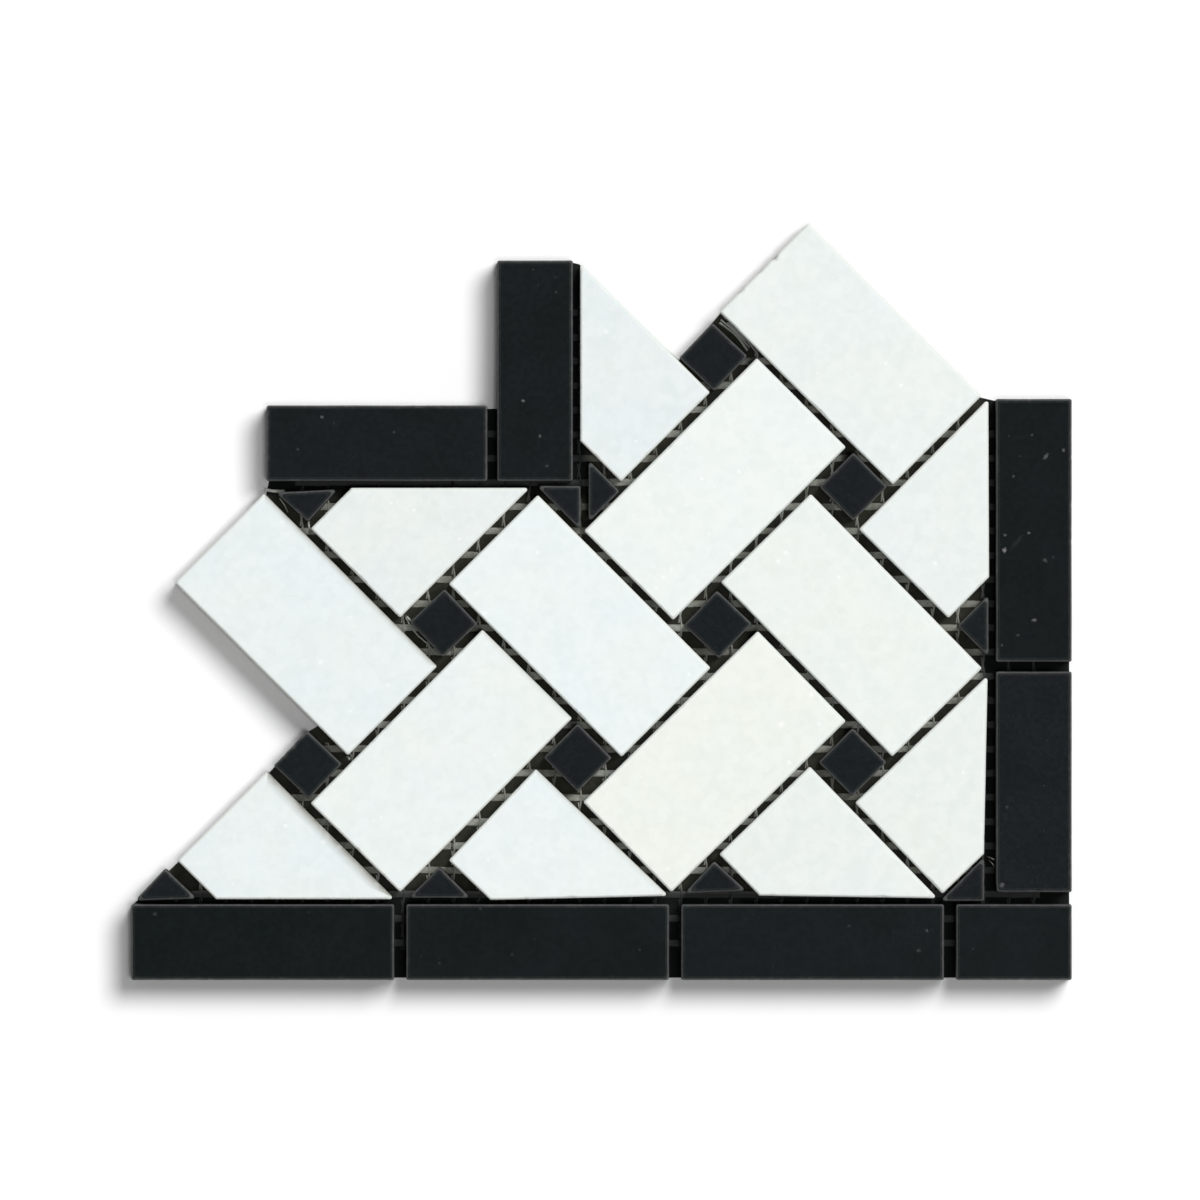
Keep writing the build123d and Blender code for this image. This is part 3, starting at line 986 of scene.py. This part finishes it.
# How each black stone differs from the next: lightness, grit that shows in the polish
BLACK_LOOKS = {
    "outer_liner_left": (0.15, 0.35),
    "outer_liner_middle": (0.3, 0.3),
    "outer_liner_right": (0.55, 0.3),
    "corner_liner": (0.5, 0.3),
    "side_liner_lower": (0.85, 0.3),
    "side_liner_upper": (0.3, 0.8),
    "inner_liner_across": (0.5, 0.4),
    "inner_liner_upright": (0.45, 0.4),
}
DOT_LOOK = (0.85, 0.2)

# First seed of the black stones' grain, and the step from one to the next
BLACK_SEEDS = (141.9, 4.3)


class BORDER_OT_black_stones(bpy.types.Operator):
    """Lay the black dots, half dots and liners, in polished black marble"""

    bl_idname = "border_corner.black_stones"
    bl_label = "Black stones"

    def execute(self, context):
        corner = context.scene.border_corner
        marble = black_marble(corner.black)
        for count, name in enumerate(BLACK_NAMES):
            seed = BLACK_SEEDS[0] + BLACK_SEEDS[1] * count
            data = stone_mesh(name, corner.stones, seed)
            piece = place_piece("polished_" + name, data, marble, [name])
            piece["shift"] = seed
            piece["lightness"], piece["gritty"] = BLACK_LOOKS.get(name, DOT_LOOK)
        return {"FINISHED"}


# Net

# Height from which the CAD net is sounded for strands
SOUNDING = 5 * MM

# How far a strand laps a seam between two panels, in meshes, and the fewest steps along a run
SEAM_LAP = 0.08
FEWEST_STEPS = 2

# How much a strand swells along its length, and how long a swelling is
SWELL = 0.16
SWELL_LENGTH = 3.2 * MM

# How far a strand wanders off its line, how often in a mesh, how unlike the next line, and the seeds
DRIFT = 0.16 * MM
DRIFT_PER_MESH = 0.45
DRIFT_PER_LINE = 3.7
WEFT_DRIFT, WARP_DRIFT = 1.0, 2.0

# How far the flat strands bend up and down between their bindings, and the yarns over and under them
WEFT_BEND = 0.03 * MM
YARN_RISE = 0.1 * MM

# Points round a strand
WEFT_SIDES, YARN_SIDES = 8, 6

# Loose fibres: points along each stretch, sway and how often it turns, height of the ends and greatest
# thickness, the last two in millimetres
LOOSE_STEPS = 4
LOOSE_SWAY = 0.12 * MM
LOOSE_WAVE = 0.7 * MM
LOOSE_FOOT = 0.6
LOOSE_THICKNESS = 0.3

# What the net's mesh carries for its material
FIBRE_LAYERS = ("across", "along", "loose")


def panel_shape(name):
    """Points and faces of a CAD node, for finding what lies under a point."""
    data = nodes[name].data
    return [v.co.copy() for v in data.vertices], [tuple(p.vertices) for p in data.polygons]


def lines_over(low, high, phase, pitch):
    """Numbers of the lines that cover a stretch, counted from the line at the phase."""
    return range(math.floor((low - phase) / pitch), math.ceil((high - phase) / pitch) + 1)


def net_strands(net):
    """Unbroken runs of strands in each CAD panel of the net: panel, way, line, first and last mesh."""
    trees = {n: BVHTree.FromPolygons(*panel_shape(n)) for n in NET_NAMES}
    lows, highs = zip(*(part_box(n) for n in NET_NAMES))
    left, right = min(low.x for low in lows), max(high.x for high in highs)
    bottom, top = min(low.y for low in lows), max(high.y for high in highs)
    columns = lines_over(left, right, net.phase_x, net.pitch_x)
    rows = lines_over(bottom, top, net.phase_y, net.pitch_y)

    def panel_at(column, row):
        """Name of the panel that has a strand at a place counted in meshes, or None."""
        above = Vector((net.phase_x + column * net.pitch_x, net.phase_y + row * net.pitch_y, SOUNDING))
        for name, tree in trees.items():
            if tree.ray_cast(above, Vector((0, 0, -1)))[0] is not None:
                return name
        return None

    runs = []
    for way, lines, meshes in (("weft", rows, columns), ("warp", columns, rows)):
        for line in lines:
            before = None
            for mesh in meshes:
                spot = (mesh + 0.5, line) if way == "weft" else (line, mesh + 0.5)
                panel = panel_at(*spot)
                if panel and panel == before:
                    runs[-1]["last"] = mesh
                elif panel:
                    run = {"panel": panel, "way": way, "line": line, "first": mesh, "last": mesh}
                    runs.append({**run, "joined": before is not None, "goes_on": False})
                if before and panel != before:
                    done = runs[-2] if panel else runs[-1]
                    done["goes_on"] = panel is not None
                before = panel
    return runs


def strand_stations(run, net):
    """Places along a run, counted in meshes, with short cut ends where the net ends."""
    pitch = net.pitch_x if run["way"] == "weft" else net.pitch_y
    start = run["first"] - (SEAM_LAP if run["joined"] else net.stub / pitch)
    end = run["last"] + 1 + (SEAM_LAP if run["goes_on"] else net.stub / pitch)
    count = max(FEWEST_STEPS, round((end - start) * net.steps))
    return [start + (end - start) * i / count for i in range(count + 1)]


def add_tube(mesh, layers, centres, across_way, half_width, half_height, sides, loose=0.0):
    """Closed strand with an oval section along a row of points. Each section stands square to the net."""
    across_layer, along_layer, loose_layer = layers
    rings = []
    along = 0.0
    for i, centre in enumerate(centres):
        if i:
            along += (centre - centres[i - 1]).length
        swell = 1 + SWELL * noise.noise(centre / SWELL_LENGTH)
        ring = []
        for k in range(sides):
            angle = 2 * math.pi * k / sides
            aside = math.cos(angle)
            up = Vector((0, 0, math.sin(angle) * half_height))
            vertex = mesh.verts.new(centre + (across_way * (aside * half_width * swell) + up))
            vertex[across_layer] = aside
            vertex[along_layer] = along / MM
            vertex[loose_layer] = loose
            ring.append(vertex)
        rings.append(ring)
    skin(mesh, rings)


def drift(along, line, seed):
    """How far a strand wanders off its line, in metres."""
    return DRIFT * noise.noise(Vector((along * DRIFT_PER_MESH, line * DRIFT_PER_LINE, seed)))


def panel_near(point):
    """Name of the panel of the net whose box lies nearest to a point."""
    def away(name):
        low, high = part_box(name)
        across = max(low.x - point.x, 0, point.x - high.x)
        return math.hypot(across, max(low.y - point.y, 0, point.y - high.y))

    return min(NET_NAMES, key=away)


def loose_course(pixels, height):
    """Points along a loose fibre, which rises from the net to a height in millimetres and bows a little."""
    knots = [photo_point(*pixel) for pixel in pixels]
    stretches = len(knots) - 1
    centres = []
    for i, (a, b) in enumerate(zip(knots, knots[1:])):
        for step in range(LOOSE_STEPS + (i == stretches - 1)):
            along = (i + step / LOOSE_STEPS) / stretches
            place = a.lerp(b, step / LOOSE_STEPS)
            sway = LOOSE_SWAY * noise.noise(Vector((place.x / LOOSE_WAVE, place.y / LOOSE_WAVE, height)))
            rise = (LOOSE_FOOT + height * math.sin(math.pi * along)) * MM
            centres.append(Vector((place.x + sway, place.y - sway, rise)))
    return centres


def add_loose_fibre(mesh, layers, pixels, width, height):
    """Loose end of fibre, as wide as given in millimetres and never thicker than its kind."""
    centres = loose_course(pixels, height)
    onward = (centres[-1] - centres[0]).to_2d().normalized()
    aside = Vector((-onward.y, onward.x, 0))
    half_height = min(width, LOOSE_THICKNESS) / 2 * MM
    add_tube(mesh, layers, centres, aside, width / 2 * MM, half_height, YARN_SIDES, loose=1.0)


def add_weft(mesh, layers, run, middle, net):
    """Flat strand across the net, bent up and down from one binding to the next."""
    centres = []
    for s in strand_stations(run, net):
        x = net.phase_x + s * net.pitch_x
        y = net.phase_y + run["line"] * net.pitch_y + drift(s, run["line"], WEFT_DRIFT)
        bend = WEFT_BEND * math.cos(math.pi * s + math.pi * run["line"])
        centres.append(Vector((x, y, middle + bend)))
    half = (net.weft_width / 2, net.weft_height / 2)
    add_tube(mesh, layers, centres, Vector((0, 1, 0)), *half, WEFT_SIDES)


def add_warp(mesh, layers, run, middle, net):
    """Strand up the net: two yarns that cross between the flat strands and part where they bind them."""
    stations = strand_stations(run, net)
    for side in (1, -1):
        centres = []
        for s in stations:
            sway = side * math.cos(math.pi * s)
            x = net.phase_x + run["line"] * net.pitch_x + drift(s, run["line"], WARP_DRIFT)
            y = net.phase_y + s * net.pitch_y
            centres.append(Vector((x + net.yarn_swing * sway, y, middle + YARN_RISE * sway)))
        half = (net.yarn_width / 2, net.yarn_height / 2)
        add_tube(mesh, layers, centres, Vector((1, 0, 0)), *half, YARN_SIDES)


def net_mesh(panel, runs, net):
    """Mesh of one panel of the net: flat wefts, pairs of twisted warp yarns that bind them, loose fibres."""
    mesh = bmesh.new()
    for label in FIBRE_LAYERS:
        mesh.verts.layers.float.new(label)
    layers = [mesh.verts.layers.float[label] for label in FIBRE_LAYERS]
    middle = (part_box(panel)[0].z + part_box(panel)[1].z) / 2
    for pixels, width, height in LOOSE_FIBRES:
        if panel == panel_near(photo_point(*pixels[0])):
            add_loose_fibre(mesh, layers, pixels, width, height)
    for run in (r for r in runs if r["panel"] == panel):
        add = add_weft if run["way"] == "weft" else add_warp
        add(mesh, layers, run, middle, net)
    return finished(mesh, panel)


class BORDER_OT_backing_net(bpy.types.Operator):
    """Weave the glass-fibre net: flat wefts and twisted pairs of warp yarns on the CAD net's lines"""

    bl_idname = "border_corner.backing_net"
    bl_label = "Backing net"

    def execute(self, context):
        net = context.scene.border_corner.net
        fibre = glass_fibre(net)
        runs = net_strands(net)
        for panel in NET_NAMES:
            data = net_mesh(panel, runs, net)
            place_piece("woven_" + panel, data, fibre, [panel])
        return {"FINISHED"}


# Joints

# Height of the film's underside
FILM_BED = 0.06 * MM

# Corners of the tile's outline, anticlockwise from the lower left: the stone and the way that its corner
# points, or the pixel of a notch between two stones
OUTLINE_TIPS = [
    ("outer_liner_left", -1, -1),
    ("corner_liner", 1, -1),
    ("side_liner_upper", 1, 1),
    ("side_liner_upper", -1, 1),
    ("white_brick_7", 1, 0),
    ("white_brick_7", 0, 1),
    ("white_brick_7", -1, 0),
    ("black_dot_7", -1, 0),
    ("white_half_brick_7", 0, 1),
    ("inner_liner_upright", 1, 1),
    ("inner_liner_upright", -1, 1),
    (500, 407),
    ("inner_liner_across", -1, 1),
    ("inner_liner_across", -1, -1),
    ("white_brick_5", 0, 1),
    ("white_brick_5", -1, 0),
    (318, 724),
    ("black_dot_3", 0, 1),
    ("black_dot_3", -1, 0),
    ("white_half_brick_3", -1, 0.4),
    ("black_half_dot_4", -1, 0),
    ("outer_liner_left", -1, 1),
]


def prism(mesh, outline, low, high):
    """Add an upright block with a flat outline to a bmesh."""
    skin(mesh, [[mesh.verts.new((point.x, point.y, height)) for point in outline] for height in (low, high)])


def joint_film(net):
    """Mesh of the thin film that lies in the net's meshes along the joints, and laps under the stones. Its
    dark colour paints the shade at the joints' bottoms as well as the adhesive.
    """
    plate, beds = bmesh.new(), bmesh.new()
    corners = [tip(*corner) if len(corner) == 3 else photo_point(*corner) for corner in OUTLINE_TIPS]
    outline = inset(corners, net.glue_margin)
    prism(plate, outline, FILM_BED, FILM_BED + net.glue_height)
    for name in WHITE_NAMES + BLACK_NAMES:
        prism(beds, inset(footprint(name), net.glue_lap), -MM, MM)  # well past the film, above and below
    film = bpy.data.objects.new("film", finished(plate, "joint_film"))
    cutter = bpy.data.objects.new("beds", finished(beds, "beds"))
    for made in (film, cutter):
        bpy.context.scene.collection.objects.link(made)
    cut = film.modifiers.new("Beds", "BOOLEAN")
    cut.operation, cut.solver, cut.object = "DIFFERENCE", "EXACT", cutter
    bpy.context.view_layer.update()
    data = bpy.data.meshes.new_from_object(film.evaluated_get(bpy.context.evaluated_depsgraph_get()))
    for made in (film, cutter):
        bpy.data.objects.remove(made)
    for face in data.polygons:
        face.use_smooth = False
    return data


class BORDER_OT_joint_adhesive(bpy.types.Operator):
    """Lay the adhesive film at the bottom of the joints, darkened with painted shade"""

    bl_idname = "border_corner.joint_adhesive"
    bl_label = "Joint adhesive and shade"

    def execute(self, context):
        net = context.scene.border_corner.net
        data = joint_film(net)
        if not data.polygons:
            raise RuntimeError("the adhesive film came out empty")
        place_piece("joint_adhesive", data, dark_adhesive(net))
        return {"FINISHED"}


# Stage

# Half the floor's width in metres, and its darkest patches as a share of its colour
FLOOR_REACH = 3.0
FLOOR_SHADE = 0.99

# Height on the sky, of 1 straight above, up to which it is as bright as at the floor
HORIZON_BAND = 0.15


def pale_floor(look):
    """White floor with the faintest unevenness."""
    material, tree, shader, position = new_material("Pale floor")
    patch = use(tree, stone_clouds, Position=position, Shift=1.0, Size=0.3, Sharpness=0.4)["Mask"]
    darkest = [FLOOR_SHADE * part for part in look.floor]
    feed(tree, shader.inputs, {
        "Base Color": paint(tree, patch, darkest, look.floor),
        "Roughness": 0.9,
        "Specular IOR Level": 0.1,
    })
    return material


def add_lamp(name, power, size, distance, lean, towards):
    """Round light that leans towards a corner of the picture and looks at the tile."""
    lamp = bpy.data.lights.new(name, "AREA")
    lamp.shape = "DISK"
    lamp.size = size
    lamp.energy = power
    light = bpy.data.objects.new(name, lamp)
    bpy.context.scene.collection.objects.link(light)
    aside = Vector(towards).normalized() * math.sin(lean)
    arm = Vector((aside.x, aside.y, math.cos(lean)))
    light.location = arm * distance
    light.rotation_euler = arm.to_track_quat("Z", "Y").to_euler()
    light.visible_camera = False
    return light


def light_room(look):
    """Soft light from all round, dimmer overhead, so that the polish stays dark from above."""
    world = bpy.data.worlds.new("Studio")
    world.use_nodes = True
    tree = world.node_tree
    way = node(tree, "ShaderNodeTexCoord").outputs["Generated"]
    height = node(tree, "ShaderNodeSeparateXYZ", {0: way}).outputs["Z"]
    strength = spread(tree, height, HORIZON_BAND, 1.0, look.horizon, look.zenith)
    background = tree.nodes["Background"]
    background.inputs["Color"].default_value = (1, 1, 1, 1)
    tree.links.new(strength, background.inputs["Strength"])
    bpy.context.scene.world = world


class BORDER_OT_stage(bpy.types.Operator):
    """Set the floor, the studio light and the camera straight above"""

    bl_idname = "border_corner.stage"
    bl_label = "Stage"

    def execute(self, context):
        look = context.scene.border_corner.studio
        mesh = bmesh.new()
        bmesh.ops.create_grid(mesh, x_segments=1, y_segments=1, size=FLOOR_REACH)
        data = bpy.data.meshes.new("floor")
        mesh.to_mesh(data)
        mesh.free()
        data.materials.append(pale_floor(look))
        floor = bpy.data.objects.new("floor", data)
        context.scene.collection.objects.link(floor)
        add_lamp("Softbox", look.key_power, look.key_size, look.key_distance, look.key_lean, (1, 1))
        top = add_lamp("Top light", look.top_power, look.top_size, look.top_distance, look.top_lean, (1, -1))
        top.visible_glossy = False
        light_room(look)

        camera = bpy.data.cameras.new("Camera")
        width = PHOTO_SIZE / PHOTO_PIXELS_PER_MM * MM
        camera.lens = camera.sensor_width * look.distance / width
        seat = bpy.data.objects.new("Camera", camera)
        middle = photo_point(PHOTO_SIZE / 2, PHOTO_SIZE / 2)
        seat.location = (middle.x, middle.y, cad_high.z + look.distance)
        context.scene.collection.objects.link(seat)
        context.scene.camera = seat
        context.scene.view_settings.view_transform = "Standard"
        return {"FINISHED"}


class BORDER_PT_panel(bpy.types.Panel):
    """Lists the steps that build the looks, and the values that they use"""

    bl_idname = "BORDER_PT_panel"
    bl_label = "Border corner"
    bl_space_type = "VIEW_3D"
    bl_region_type = "UI"
    bl_category = "Border corner"

    def draw(self, context):
        corner = context.scene.border_corner
        for step in STEPS:
            self.layout.operator(step.bl_idname)
        for part in ("stones", "white", "black", "net", "studio"):
            box = self.layout.box()
            box.label(text=part.capitalize())
            values = getattr(corner, part)
            for name in values.bl_rna.properties.keys():
                if name not in ("rna_type", "name"):
                    box.prop(values, name)


STEPS = [
    BORDER_OT_white_stones,
    BORDER_OT_black_stones,
    BORDER_OT_backing_net,
    BORDER_OT_joint_adhesive,
    BORDER_OT_stage,
]
CLASSES = [StoneSizes, WhiteMarble, BlackMarble, NetSizes, StudioLook, BorderCorner, *STEPS, BORDER_PT_panel]


def register():
    """Make the values, the steps and the panel known to Blender."""
    for made in CLASSES:
        bpy.utils.register_class(made)
    bpy.types.Scene.border_corner = PointerProperty(type=BorderCorner)


def unregister():
    """Take them out again."""
    del bpy.types.Scene.border_corner
    for made in reversed(CLASSES):
        bpy.utils.unregister_class(made)


def main():
    """Register, and run every step in order."""
    register()
    bpy.ops.border_corner.white_stones()
    bpy.ops.border_corner.black_stones()
    bpy.ops.border_corner.backing_net()
    bpy.ops.border_corner.joint_adhesive()
    bpy.ops.border_corner.stage()


if __name__ == "__main__":
    main()
